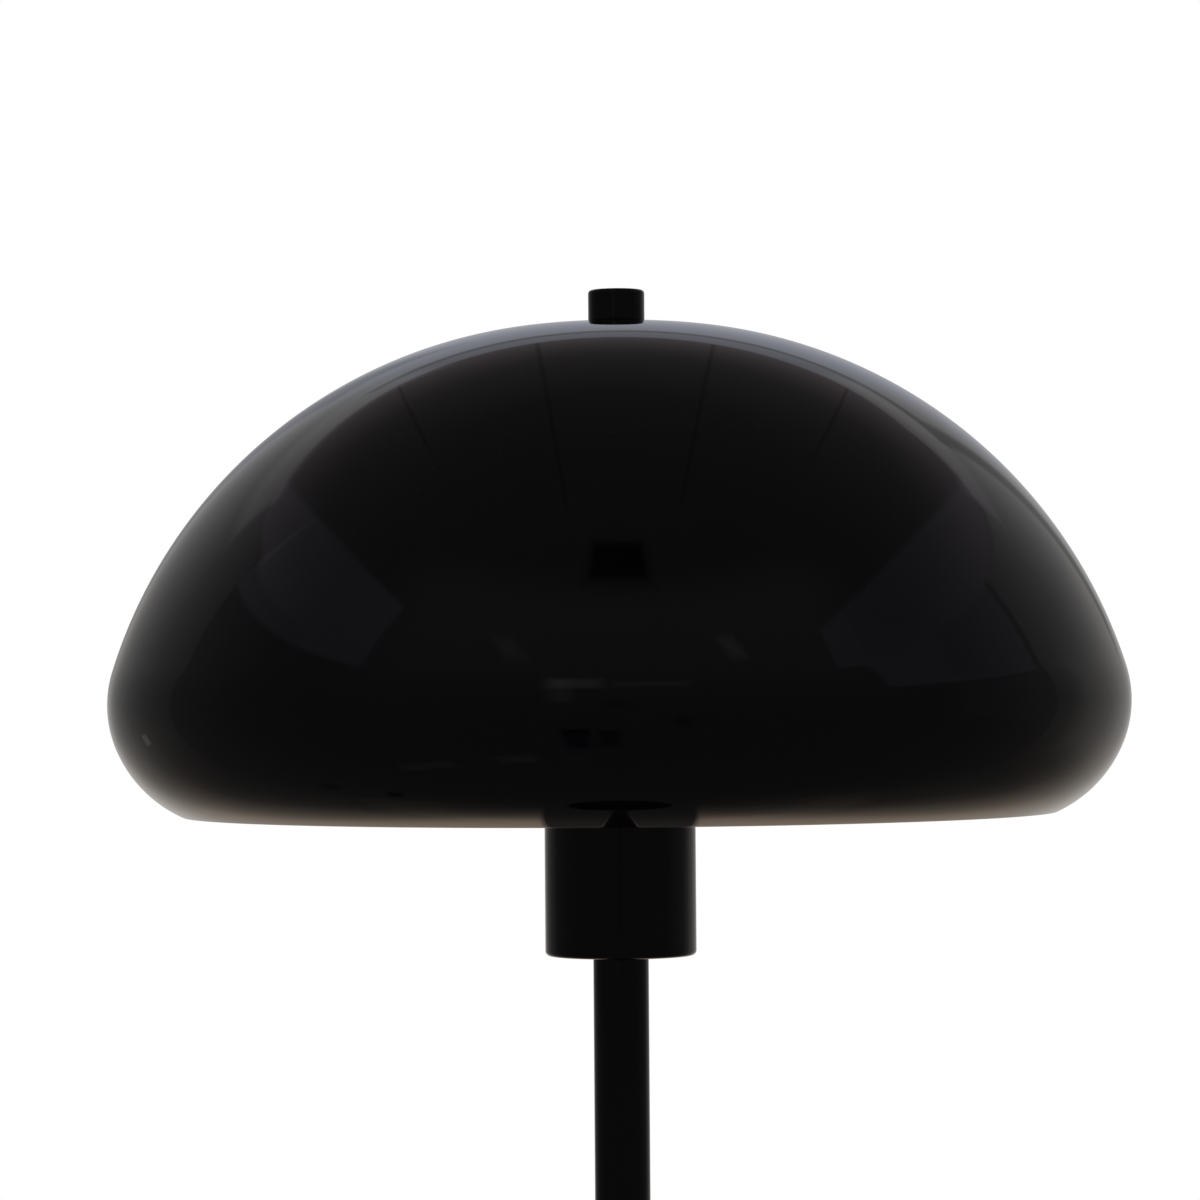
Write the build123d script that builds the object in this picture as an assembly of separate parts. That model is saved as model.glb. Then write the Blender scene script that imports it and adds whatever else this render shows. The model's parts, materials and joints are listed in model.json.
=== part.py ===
from build123d import *
import os
from math import cos, hypot, radians, sin

# Mushroom floor lamp: a spun dome shade rests on a bent rod harp that straddles the bulb. The harp
# stands on a lampholder cup at the head of a three-piece stem, and the stem stands on a round
# weighted foot. Millimetres, +Z up, origin on the floor under the stem, front towards -Y.

# Clearances
fit = 0.05             # radial gap of a piece pushed or threaded into another
slide_gap = 0.08       # radial gap of a piece that slides or turns on a rod
loose_gap = 0.3        # gap between pieces that come apart
pass_gap = 0.4         # radial gap of a hole that a threaded tube goes through

# Shade: three tangent arcs of revolution round a small flat seat
rim_height = 1240.0    # the open rim above the floor
seat_radius = 14.0
crown_radius = 195.0
crown_end = 72.7       # slope in degrees where the crown turns into the shoulder
shoulder_radius = 45.0
shoulder_end = 113.0
lip_radius = 51.0
lip_end = 155.8
shade_wall = 1.2

# Finial
finial_radius = 11.2
finial_height = 12.7
finial_round = 1.3
finial_chamfer = 0.4
insert_radius = 6.0
insert_depth = 10.2
finial_washer_radius = 9.0
finial_washer_thickness = 0.8
engaged_thread = 8.3   # length of stud inside the finial

# Harp
stud_radius = 4.0
stud_rooted = 4.0      # length of stud inside the hub
shade_washer_radius = 13.0
shade_washer_thickness = 1.0
hub_flange_radius = 14.0
hub_flange_thickness = 2.0
hub_radius = 7.0
hub_height = 11.0
rod_radius = 2.25
harp_foot = 34.5       # half the distance between the harp's feet
harp_belly = 58.0      # half the distance between its sides
harp_top_bend = 50.0
harp_belly_bend = 60.0
harp_foot_bend = 40.0
harp_straight = 26.0   # straight run of rod above each post
harp_flare = 40.0      # height over which the rod moves out to the belly
post_height = 7.0
ferrule_radius = 3.6
ferrule_length = 14.0
ferrule_edge = 0.5

# Saddle
strip_thickness = 1.5
strip_width = 14.0
strip_bend = 2.25
saddle_arm = 24.6      # arm's middle plane from the stem's axis
ear_beyond_post = 4.5
ear_round = 5.0
ear_above_cup = 1.5
saddle_above_floor = 18.0

# Lampholder cup
cup_below_rim = 56.3
cup_radius = 30.0
cup_height = 85.0
cup_wall = 1.2
cup_corner = 2.0
cup_lip_round = 0.5

# Threaded tubes, nuts and washers
tube_radius = 5.0
tube_bore = 3.5
nut_flats = 14.0
nut_height = 5.0
thin_nut_height = 4.0
washer_radius = 9.0
washer_thickness = 1.0
cup_tube_below = 14.0
cup_tube_in_holder = 10.0
foot_tube_above = 14.0
tube_past_nut = 1.0

# Lampholder
holder_radius = 19.0
holder_wall = 2.0
holder_neck_radius = 8.0
holder_neck_height = 3.0
holder_cone_height = 9.0
holder_cap_height = 24.0
holder_sleeve_height = 38.0
block_thickness = 10.0
block_in_cap = 3.5
shell_wall = 0.6
shell_height = 26.0
contact_width = 5.0
contact_length = 14.0
contact_thickness = 0.5
contact_rise = 3.0
side_contact_height = 16.0
screw_radius = 2.0
screw_length = 6.0
screw_head_radius = 3.4
screw_head_height = 1.6
terminal_circle = 11.0

# Bulb
bulb_cap_radius = 13.2
bulb_cap_height = 24.0
bulb_cap_wall = 0.4
insulator_height = 3.0
bulb_contact_radius = 4.8
bulb_contact_height = 1.0
bulb_radius = 30.0
bulb_length = 107.0    # from the contact to the crown of the glass
bulb_waist = 42.0      # degrees below the ball's middle where the glass leaves it for the neck
glass_wall = 1.0
glass_in_cap = 3.0
thread_rib = 0.7       # depth of the rolled thread on the cap
thread_pitch = 3.63

# Stem
stem_radius = 11.0
stem_wall = 1.5
stem_sections = 3
ring_height = 3.0
ring_chamfer = 0.4
spigot_length = 18.0
spigot_bore = 4.0
bush_length = 20.0

# Base
base_radius = 140.0
base_wall = 1.2
base_edge_height = 19.0
base_land_height = 26.0
base_land_radius = 16.0
base_edge_round = 6.0
base_land_round = 40.0
cover_lift = 1.5       # lower edge of the cover above the floor
weight_gap = 1.4       # between the cover's skirt and the weight
weight_thickness = 14.0
weight_boss_radius = 40.0
weight_edge_chamfer = 3.0
cavity_radius = 36.0
cavity_depth = 12.0
channel_width = 12.0
channel_height = 11.5
pad_thickness = 2.0
pad_inset = 4.0
plate_radius = 46.0
plate_thickness = 1.0
plate_rim_gap = 1.0
plate_screw_circle = 41.0
plate_screw_count = 3
plate_screw_start = 30.0
plate_screw_head = 0.7
plate_screw_length = 8.0
inlet_bore = 3.1
inlet_neck_wall = 0.9
inlet_flange_radius = 5.4
inlet_flange_thickness = 1.5
inlet_height = 7.3
earth_screw_offset = 22.0


def turned(*corners):
    """Solid of revolution about Z from (radius, height) corners; a third number rounds a corner."""
    points = [(corner[0], 0, corner[1]) for corner in corners]
    rounds = [corner[2] if len(corner) > 2 else 0 for corner in corners]
    outline = FilletPolyline(*points, radius=rounds, close=True)
    return revolve(make_face(outline), Axis.Z)


def ring(inner, outer, low, high):
    """Plain round ring or tube about Z."""
    return turned((inner, low), (outer, low), (outer, high), (inner, high))


def hex_nut(low, height):
    """Hexagon nut on a threaded tube."""
    body = extrude(RegularPolygon(nut_flats / 2, 6, major_radius=False), height)
    return Pos(0, 0, low) * (body - Cylinder(tube_radius + fit, 3 * height))


def pan_screw(head_radius, head_height, shank_radius, length):
    """Screw with its head's underside at z = 0 and its shank upwards."""
    head = Pos(0, 0, -head_height / 2) * Cylinder(head_radius, head_height)
    slot = Pos(0, 0, -head_height) * Box(2 * head_radius, head_radius / 4, head_height)
    shank = Pos(0, 0, length / 2) * Cylinder(shank_radius, length)
    return head - slot + shank


def around(piece, count, radius, start=0.0):
    """Copies of one piece on a circle about Z."""
    turn = 360 / count
    return [Rot(0, 0, start + turn * k) * Pos(radius, 0, 0) * piece for k in range(count)]


def on_slope(centre, radius, slope):
    """Point of an arc where its surface slopes down by so many degrees."""
    x, z = centre
    return (x + radius * sin(radians(slope)), z + radius * cos(radians(slope)))


def slope_arc(centre, radius, start, end):
    """Arc of the shade's section in the XZ plane between two slopes."""
    points = [on_slope(centre, radius, slope) for slope in (start, (start + end) / 2, end)]
    return ThreePointArc(*[(x, 0, z) for x, z in points])


# Levels worked out from the driving sizes

shade_height = (crown_radius * (1 - cos(radians(crown_end)))
                + shoulder_radius * (cos(radians(crown_end)) - cos(radians(shoulder_end)))
                + lip_radius * (cos(radians(shoulder_end)) - cos(radians(lip_end))))
apex = rim_height + shade_height
shade_underside = apex - shade_wall
hub_top = shade_underside - shade_washer_thickness
rod_top = hub_top - hub_flange_thickness - hub_height / 2
stud_bottom = hub_top - stud_rooted
finial_seat = apex + finial_washer_thickness
stud_top = finial_seat + engaged_thread

cup_bottom = rim_height - cup_below_rim
cup_floor = cup_bottom + cup_wall
cup_lip = cup_bottom + cup_height
saddle_seat = cup_bottom + saddle_above_floor
saddle_top = saddle_seat + strip_thickness
ear_top = cup_lip + ear_above_cup + strip_thickness
post_top = ear_top + post_height

holder_cap_top = saddle_top + holder_cap_height
holder_top = holder_cap_top + holder_sleeve_height
block_bottom = holder_cap_top - block_in_cap
block_top = block_bottom + block_thickness
contact_top = block_top + contact_rise
bulb_bottom = contact_top + loose_gap
insulator_low = bulb_bottom + bulb_contact_height
cap_low = insulator_low + insulator_height
cap_top = cap_low + bulb_cap_height
cap_root = bulb_cap_radius - thread_rib
neck_radius = cap_root - bulb_cap_wall - fit

stem_inner = stem_radius - stem_wall
stem_run = cup_bottom - base_land_height
section_length = (stem_run - (stem_sections - 1) * ring_height) / stem_sections
weight_top = pad_thickness + weight_thickness
cavity_top = pad_thickness + cavity_depth


def make_shade():
    """Spun dome with a flat seat, a hole for the stud and an inward-curling lip."""
    crown_centre = (seat_radius, apex - crown_radius)
    crown_foot = on_slope(crown_centre, crown_radius, crown_end)
    shoulder_centre = on_slope(crown_foot, -shoulder_radius, crown_end)
    shoulder_foot = on_slope(shoulder_centre, shoulder_radius, shoulder_end)
    lip_centre = on_slope(shoulder_foot, -lip_radius, shoulder_end)
    arcs = [(crown_centre, crown_radius, 0, crown_end),
            (shoulder_centre, shoulder_radius, crown_end, shoulder_end),
            (lip_centre, lip_radius, shoulder_end, lip_end)]
    outer = [slope_arc(centre, radius, start, end) for centre, radius, start, end in arcs]
    inner = [slope_arc(centre, radius - shade_wall, start, end) for centre, radius, start, end in arcs]
    hole = stud_radius + loose_gap
    seat = Polyline((seat_radius, 0, apex), (hole, 0, apex), (hole, 0, shade_underside),
                    (seat_radius, 0, shade_underside))
    rim = Line(outer[-1] @ 1, inner[-1] @ 1)
    return revolve(make_face(Wire([*seat.edges(), *outer, rim, *inner])), Axis.Z)


def make_finial():
    """Round knob with a pocket for its threaded insert."""
    top = finial_seat + finial_height
    pocket_top = finial_seat + insert_depth
    body = turned((0, top), (finial_radius, top, finial_round), (finial_radius, finial_seat),
                  (0, finial_seat))
    pocket = ring(0, insert_radius + fit, finial_seat, pocket_top)
    edge = body.edges().filter_by(GeomType.CIRCLE).sort_by(Axis.Z)[0]
    return chamfer(edge, finial_chamfer) - pocket


def make_finial_insert():
    """Threaded bush that screws down on the stud."""
    return ring(stud_radius + slide_gap, insert_radius, finial_seat, finial_seat + insert_depth)


def make_harp():
    """Rod bent up from the two posts, out round the bulb and over under the shade's seat."""
    flare_low = post_top + harp_straight
    flare_high = flare_low + harp_flare
    half = [(harp_foot, post_top), (harp_foot, flare_low), (harp_belly, flare_high),
            (harp_belly, rod_top)]
    right = [(x, 0, z) for x, z in half]
    left = [(-x, 0, z) for x, z in reversed(half)]
    bends = [harp_foot_bend, harp_belly_bend, harp_top_bend]
    path = FilletPolyline(*right, *left, radius=bends + bends[::-1])
    foot = Pos(harp_foot, 0, post_top) * Circle(rod_radius)
    return sweep(foot, path)


def make_harp_hub():
    """Flanged hub on the harp's top that carries the shade; the rod runs through its neck."""
    low = hub_top - hub_flange_thickness - hub_height
    hub = turned((0, low), (hub_radius, low, ferrule_edge), (hub_radius, hub_top - hub_flange_thickness),
                 (hub_flange_radius, hub_top - hub_flange_thickness), (hub_flange_radius, hub_top),
                 (0, hub_top))
    rod_hole = Pos(0, 0, rod_top) * Rot(0, 90, 0) * Cylinder(rod_radius + fit, 4 * hub_radius)
    stud_hole = ring(0, stud_radius + fit, stud_bottom, hub_top)
    return hub - rod_hole - stud_hole


def make_saddle():
    """Strip bent into a U inside the cup, with ears over its lip and a post on each ear."""
    low = saddle_seat + strip_thickness / 2
    high = ear_top - strip_thickness / 2
    ear_end = harp_foot + ear_beyond_post
    half = [(saddle_arm, low), (saddle_arm, high), (ear_end, high)]
    path = FilletPolyline(*[(-x, 0, z) for x, z in reversed(half)], *[(x, 0, z) for x, z in half],
                          radius=strip_bend)
    section = Plane(origin=(-ear_end, 0, high), z_dir=(1, 0, 0), x_dir=(0, 1, 0))
    strip = sweep(section * Rectangle(strip_width, strip_thickness), path)
    ends = strip.edges().filter_by(Axis.Z).filter_by(lambda edge: abs(edge.center().X) > ear_end - fit)
    strip = fillet(ends, ear_round)
    strip -= Pos(0, 0, saddle_seat) * Cylinder(tube_radius + pass_gap, 4 * strip_thickness)
    for side in (-1, 1):
        strip += Pos(side * harp_foot, 0, ear_top + post_height / 2) * Cylinder(rod_radius, post_height)
    return strip


def make_ferrule(side):
    """Sleeve that locks one foot of the harp on its post."""
    low, high = ear_top, ear_top + ferrule_length
    sleeve = turned((rod_radius + slide_gap, low), (ferrule_radius, low, ferrule_edge),
                    (ferrule_radius, high, ferrule_edge), (rod_radius + slide_gap, high))
    return Pos(side * harp_foot, 0, 0) * sleeve


def make_cup():
    """Drawn cup that hides the lampholder, with a rounded lip and a hole for the threaded tube."""
    hole = tube_radius + pass_gap
    inner = cup_radius - cup_wall
    return turned((hole, cup_bottom), (cup_radius, cup_bottom, cup_corner),
                  (cup_radius, cup_lip, cup_lip_round), (inner, cup_lip, cup_lip_round),
                  (inner, cup_floor, cup_corner - cup_wall), (hole, cup_floor))


def make_holder_cap():
    """Lower half of the lampholder: a threaded neck that widens to the sleeve's size."""
    low, top = saddle_top, holder_cap_top
    neck_top = low + holder_neck_height
    cone_top = neck_top + holder_cone_height
    inner = holder_radius - holder_wall
    hole = tube_radius + fit
    return turned((hole, low), (holder_neck_radius, low), (holder_neck_radius, neck_top),
                  (holder_radius, cone_top), (holder_radius, top), (inner, top),
                  (inner, cone_top), (holder_neck_radius, neck_top + holder_wall),
                  (holder_neck_radius, low + cup_tube_in_holder), (hole, low + cup_tube_in_holder))


def make_holder_sleeve():
    """Upper half of the lampholder, a plain insulating sleeve round the thread."""
    inner = holder_radius - holder_wall
    return turned((inner, holder_cap_top), (holder_radius, holder_cap_top),
                  (holder_radius, holder_top, ferrule_edge), (inner, holder_top, ferrule_edge))


def make_holder_block():
    """Insulating block that carries the contacts, bridging the holder's two halves."""
    block = ring(0, holder_radius - holder_wall - fit, block_bottom, block_top)
    for screw_hole in around(Cylinder(screw_radius + fit, screw_length * 2), 2, terminal_circle, 90):
        block -= Pos(0, 0, block_bottom) * screw_hole
    return block


def make_centre_contact():
    """Spring leaf that rises from the block to the bulb's tip."""
    half = contact_length / 2
    low = block_top + contact_thickness / 2
    high = contact_top - contact_thickness / 2
    path = FilletPolyline((-half, 0, low), (-half / 3, 0, low), (half / 3, 0, high), (half * 0.8, 0, high),
                          radius=contact_rise / 2)
    section = Plane(origin=(-half, 0, low), z_dir=(1, 0, 0), x_dir=(0, 1, 0))
    return sweep(section * Rectangle(contact_width, contact_thickness), path)


def make_side_contact():
    """Upright strip that feeds the threaded shell, between it and the sleeve."""
    inner = bulb_cap_radius + pass_gap + shell_wall
    gap = holder_radius - holder_wall - inner
    strip = Box(min(shell_wall, gap / 2), contact_width, side_contact_height)
    return Pos(0, inner + fit + shell_wall / 2, block_top + side_contact_height / 2) * (Rot(0, 0, 90) * strip)


def make_terminal_screws():
    """Two terminal screws in the underside of the block."""
    screw = pan_screw(screw_head_radius, screw_head_height, screw_radius, screw_length)
    return Compound(children=[Pos(0, 0, block_bottom) * one for one in around(screw, 2, terminal_circle, 90)])


def make_bulb_glass():
    """Blown envelope: a ball drawn down to a neck that is cemented in the cap."""
    crown = bulb_bottom + bulb_length
    centre = crown - bulb_radius
    neck_low = cap_top - glass_in_cap
    waist = radians(90 + bulb_waist)

    def envelope(radius, neck, low):
        start = (radius * sin(waist), 0, centre + radius * cos(waist))
        ball = ThreePointArc((0, 0, centre + radius), (radius, 0, centre), start)
        flank = Spline(start, (neck, 0, cap_top + 2 * glass_in_cap),
                       tangents=[(cos(waist), 0, -sin(waist)), (0, 0, -1)])
        straight = Line(flank @ 1, (neck, 0, low))
        return [ball, flank, straight]

    outer = envelope(bulb_radius, neck_radius, neck_low)
    inner = envelope(bulb_radius - glass_wall, neck_radius - glass_wall, neck_low)
    foot = Line(outer[-1] @ 1, inner[-1] @ 1)
    top = Line(outer[0] @ 0, inner[0] @ 0)
    return revolve(make_face(Wire([top, *outer, foot, *inner])), Axis.Z)


def make_bulb_cap():
    """Screw shell of the bulb, a thin can with its thread rolled in as ribs."""
    turns = int((bulb_cap_height - thread_pitch) / thread_pitch)
    inner = cap_root - bulb_cap_wall
    ribs = []
    for turn in range(turns):
        low = cap_low + thread_pitch * (turn + 0.5)
        ribs += [(cap_root, low), (bulb_cap_radius, low + thread_pitch / 3),
                 (bulb_cap_radius, low + thread_pitch * 0.6)]
    return turned((inner, cap_low), (cap_root, cap_low), *ribs,
                  (cap_root, cap_low + thread_pitch * (turns + 0.5)), (cap_root, cap_top), (inner, cap_top))


def make_bulb_insulator():
    """Black glass cone between the cap and its centre contact."""
    return turned((0, insulator_low), (bulb_contact_radius, insulator_low), (cap_root, cap_low),
                  (0, cap_low))


def make_coupler(low):
    """Turned joint between two stem sections: a ring that shows and a spigot into each tube."""
    spigot = stem_inner - fit
    body = ring(spigot_bore, spigot, low - spigot_length, low + ring_height + spigot_length)
    band = ring(spigot_bore, stem_radius, low, low + ring_height)
    return body + chamfer(band.edges().filter_by(GeomType.CIRCLE).group_by(SortBy.RADIUS)[-1], ring_chamfer)


def make_stem_bush(low):
    """Threaded plug inside the end of a stem section."""
    return ring(tube_radius + fit, stem_inner - fit, low, low + bush_length)


def make_base_cover():
    """Spun cover: a flat land for the stem, a shallow cone and a rounded skirt."""
    fall = (base_land_height - base_edge_height) / (base_radius - base_land_radius)
    skirt_inner = base_radius - base_wall
    inner_edge = base_edge_height + fall * base_wall - base_wall
    hole = tube_radius + pass_gap
    cover = turned((hole, base_land_height), (base_land_radius, base_land_height, base_land_round),
                   (base_radius, base_edge_height, base_edge_round), (base_radius, cover_lift),
                   (skirt_inner, cover_lift), (skirt_inner, inner_edge, base_edge_round - base_wall),
                   (base_land_radius, base_land_height - base_wall, base_land_round),
                   (hole, base_land_height - base_wall))
    inlet = inlet_bore + inlet_neck_wall + fit
    return cover - Pos(0, base_radius, inlet_height) * Rot(90, 0, 0) * Cylinder(inlet, 20 * base_wall)


def make_base_weight():
    """Cast disc under the cover, with a boss to the land, a nut cavity and a channel to the rear."""
    edge = base_radius - base_wall - weight_gap
    boss_top = base_land_height - base_wall
    fall = (base_land_height - base_edge_height) / (base_radius - base_land_radius)
    boss_edge = boss_top - fall * (weight_boss_radius - base_land_radius) - fit
    weight = turned((0, pad_thickness), (edge, pad_thickness),
                    (edge, weight_top - weight_edge_chamfer), (edge - weight_edge_chamfer, weight_top),
                    (weight_boss_radius, weight_top), (weight_boss_radius, boss_edge - base_wall),
                    (base_land_radius - 2 * base_wall, boss_top), (0, boss_top))
    weight -= ring(0, cavity_radius, pad_thickness, cavity_top)
    weight -= Pos(0, 0, cavity_top) * Cylinder(tube_radius + pass_gap, 4 * base_land_height)
    channel = Box(channel_width, edge, channel_height, align=(Align.CENTER, Align.MIN, Align.MIN))
    weight -= Pos(0, 0, pad_thickness) * channel
    screw_hole = Cylinder(screw_radius + fit, 2 * plate_screw_length)
    for one in around(screw_hole, plate_screw_count, plate_screw_circle, plate_screw_start):
        weight -= Pos(0, 0, pad_thickness) * one
    return weight - Pos(-earth_screw_offset, 0, cavity_top) * Cylinder(screw_radius + fit, 2 * screw_length)


def make_bottom_plate():
    """Thin disc that closes the nut cavity from below."""
    plate = ring(0, plate_radius, pad_thickness - plate_thickness, pad_thickness)
    for one in around(Cylinder(screw_radius + pass_gap, 8 * plate_thickness), plate_screw_count,
                      plate_screw_circle, plate_screw_start):
        plate -= one
    return plate


def make_plate_screws():
    """Screws that hold the bottom plate."""
    screw = pan_screw(screw_head_radius, plate_screw_head, screw_radius, plate_screw_length)
    level = Pos(0, 0, pad_thickness - plate_thickness)
    screws = around(screw, plate_screw_count, plate_screw_circle, plate_screw_start)
    return Compound(children=[level * one for one in screws])


def make_earth_screw():
    """Earth terminal in the roof of the nut cavity, at the left of the tube."""
    screw = pan_screw(screw_head_radius, screw_head_height, screw_radius, screw_length)
    return Pos(-earth_screw_offset, 0, cavity_top) * screw


def make_inlet_bush():
    """Rubber bush in the rear of the skirt, flanged on both sides of the sheet."""
    neck = inlet_bore + inlet_neck_wall
    outside = hypot(base_radius, inlet_flange_radius) - base_radius
    bush = Cylinder(neck, 2 * inlet_flange_thickness + base_wall + 2 * outside)
    middle = base_radius - base_wall / 2
    for side in (-1, 1):
        offset = side * (base_wall / 2 + outside + inlet_flange_thickness / 2)
        bush += Pos(0, 0, offset) * Cylinder(inlet_flange_radius, inlet_flange_thickness)
    bush -= Cylinder(inlet_bore, 20 * base_wall)
    return Pos(0, middle, inlet_height) * Rot(90, 0, 0) * bush


def make_parts():
    """Every sub-part under its node name."""
    parts = {
        "shade": make_shade(),
        "shade_washer": ring(stud_radius + loose_gap, shade_washer_radius, hub_top, shade_underside),
        "finial": make_finial(),
        "finial_insert": make_finial_insert(),
        "finial_washer": ring(stud_radius + loose_gap, finial_washer_radius, apex, finial_seat),
        "harp": make_harp(),
        "harp_hub": make_harp_hub(),
        "harp_stud": ring(0, stud_radius, stud_bottom, stud_top),
        "harp_saddle": make_saddle(),
        "ferrule_left": make_ferrule(-1),
        "ferrule_right": make_ferrule(1),
        "saddle_nut": hex_nut(saddle_seat - thin_nut_height, thin_nut_height),
        "cup": make_cup(),
        "cup_washer": ring(tube_radius + pass_gap, washer_radius, cup_floor, cup_floor + washer_thickness),
        "cup_nut": hex_nut(cup_floor + washer_thickness, nut_height),
        "cup_tube": ring(tube_bore, tube_radius, cup_bottom - cup_tube_below,
                         saddle_top + cup_tube_in_holder),
        "holder_cap": make_holder_cap(),
        "holder_sleeve": make_holder_sleeve(),
        "holder_block": make_holder_block(),
        "holder_thread": ring(bulb_cap_radius + pass_gap, bulb_cap_radius + pass_gap + shell_wall,
                              block_top, block_top + shell_height),
        "centre_contact": make_centre_contact(),
        "side_contact": make_side_contact(),
        "terminal_screws": make_terminal_screws(),
        "bulb_glass": make_bulb_glass(),
        "bulb_cap": make_bulb_cap(),
        "bulb_insulator": make_bulb_insulator(),
        "bulb_contact": ring(0, bulb_contact_radius, bulb_bottom, insulator_low),
        "stem_head_bush": make_stem_bush(cup_bottom - bush_length),
        "stem_foot_bush": make_stem_bush(base_land_height),
        "base_cover": make_base_cover(),
        "base_weight": make_base_weight(),
        "base_tube": ring(tube_bore, tube_radius, cavity_top - washer_thickness - nut_height - tube_past_nut,
                          base_land_height + foot_tube_above),
        "base_washer": ring(tube_radius + pass_gap, washer_radius, cavity_top - washer_thickness, cavity_top),
        "base_nut": hex_nut(cavity_top - washer_thickness - nut_height, nut_height),
        "base_pad": ring(plate_radius + plate_rim_gap, base_radius - pad_inset, 0, pad_thickness),
        "bottom_plate": make_bottom_plate(),
        "plate_screws": make_plate_screws(),
        "earth_screw": make_earth_screw(),
        "inlet_bush": make_inlet_bush(),
    }
    places = ["lower", "middle", "upper"]
    for index in range(stem_sections):
        low = base_land_height + index * (section_length + ring_height)
        name = places[index] if stem_sections == len(places) else str(index + 1)
        parts["stem_" + name] = ring(stem_inner, stem_radius, low, low + section_length)
        if index < stem_sections - 1:
            parts["stem_coupler_" + str(index + 1)] = make_coupler(low + section_length)
    return parts


os.makedirs("parts", exist_ok=True)
for node, shape in make_parts().items():
    shape.label = node
    export_step(shape, "parts/" + node + ".step")
print("shade height", round(shade_height, 2), "apex", round(apex, 2), "section", round(section_length, 2))
print("widest radius", round(seat_radius + (crown_radius - shoulder_radius) * sin(radians(crown_end))
                             + shoulder_radius, 2))
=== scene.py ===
import json
import bmesh
import bpy
import numpy as np
from mathutils import Euler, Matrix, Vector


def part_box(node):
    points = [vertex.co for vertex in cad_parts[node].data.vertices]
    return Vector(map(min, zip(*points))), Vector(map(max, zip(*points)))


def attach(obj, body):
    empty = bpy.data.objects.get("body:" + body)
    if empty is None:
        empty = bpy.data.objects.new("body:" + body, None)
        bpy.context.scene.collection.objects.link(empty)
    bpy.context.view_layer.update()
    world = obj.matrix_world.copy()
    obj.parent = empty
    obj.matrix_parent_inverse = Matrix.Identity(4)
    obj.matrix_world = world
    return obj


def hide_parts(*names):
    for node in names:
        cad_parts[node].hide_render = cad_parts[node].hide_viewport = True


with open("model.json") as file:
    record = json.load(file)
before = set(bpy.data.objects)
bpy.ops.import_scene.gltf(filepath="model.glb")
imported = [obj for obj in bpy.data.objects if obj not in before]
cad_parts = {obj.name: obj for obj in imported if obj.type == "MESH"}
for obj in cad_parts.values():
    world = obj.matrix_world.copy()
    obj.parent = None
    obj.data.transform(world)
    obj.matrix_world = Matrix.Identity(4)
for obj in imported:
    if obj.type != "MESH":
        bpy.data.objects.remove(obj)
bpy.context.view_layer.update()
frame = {"nodes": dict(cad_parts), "record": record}
nodes = frame["nodes"]
bodyOf = {node: body for body, members in frame["record"]["behaviour"]["bodies"].items()
          for node in members}
slotOf = {part["node"]: part["material_slot"] for part in frame["record"]["subparts"]}
print("frame loaded:", len(nodes), "nodes")


def boxZ(node):
    low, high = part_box(node)
    return low.z, high.z


def addObject(name, data):
    item = bpy.data.objects.new(name, data)
    bpy.context.scene.collection.objects.link(item)
    return item


def seat(piece, node):
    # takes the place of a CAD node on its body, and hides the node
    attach(piece, bodyOf[node])
    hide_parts(node)


def meshPiece(name, verts, faces, materials, faceSlots=None, sharpAngle=35.0, merge=1e-7):
    # one object at the origin from plain arrays; poles are merged and normals turned outwards
    mesh = bpy.data.meshes.new(name)
    mesh.from_pydata(verts.reshape(-1, 3).tolist(), [], faces.tolist())
    for material in materials:
        mesh.materials.append(material)
    if faceSlots is not None:
        mesh.polygons.foreach_set("material_index", faceSlots)
    work = bmesh.new()
    work.from_mesh(mesh)
    bmesh.ops.remove_doubles(work, verts=work.verts, dist=merge)
    bmesh.ops.recalc_face_normals(work, faces=work.faces)
    work.to_mesh(mesh)
    work.free()
    mesh.shade_smooth()
    mesh.set_sharp_from_angle(angle=np.radians(sharpAngle))
    return addObject(name, mesh)


def gridFaces(rows, columns, wrapRows):
    # quads between rows of points: each row is a ring, and the last row may join the first
    i = np.arange(rows if wrapRows else rows - 1)[:, None]
    j = np.arange(columns)[None, :]
    nextI, nextJ = (i + 1) % rows, (j + 1) % columns
    quads = np.stack([i * columns + j, i * columns + nextJ, nextI * columns + nextJ,
                      nextI * columns + j], -1)
    return quads.reshape(-1, 4)


def lathePoints(profile, segments, centre=(0.0, 0.0)):
    # every profile point (r, z) is carried round Z: x = r cos a, y = r sin a
    angle = np.arange(segments) * 2 * np.pi / segments
    r, z = profile[:, 0][:, None], profile[:, 1][:, None]
    return np.stack([centre[0] + r * np.cos(angle), centre[1] + r * np.sin(angle),
                     z + 0 * angle], -1)


def lathePiece(name, profile, material, segments, centre=(0.0, 0.0), closed=True, sharpAngle=35.0):
    points = lathePoints(profile, segments, centre)
    return meshPiece(name, points, gridFaces(len(profile), segments, closed), [material],
                     sharpAngle=sharpAngle)


def unit(vector):
    return vector / np.linalg.norm(vector)


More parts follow.
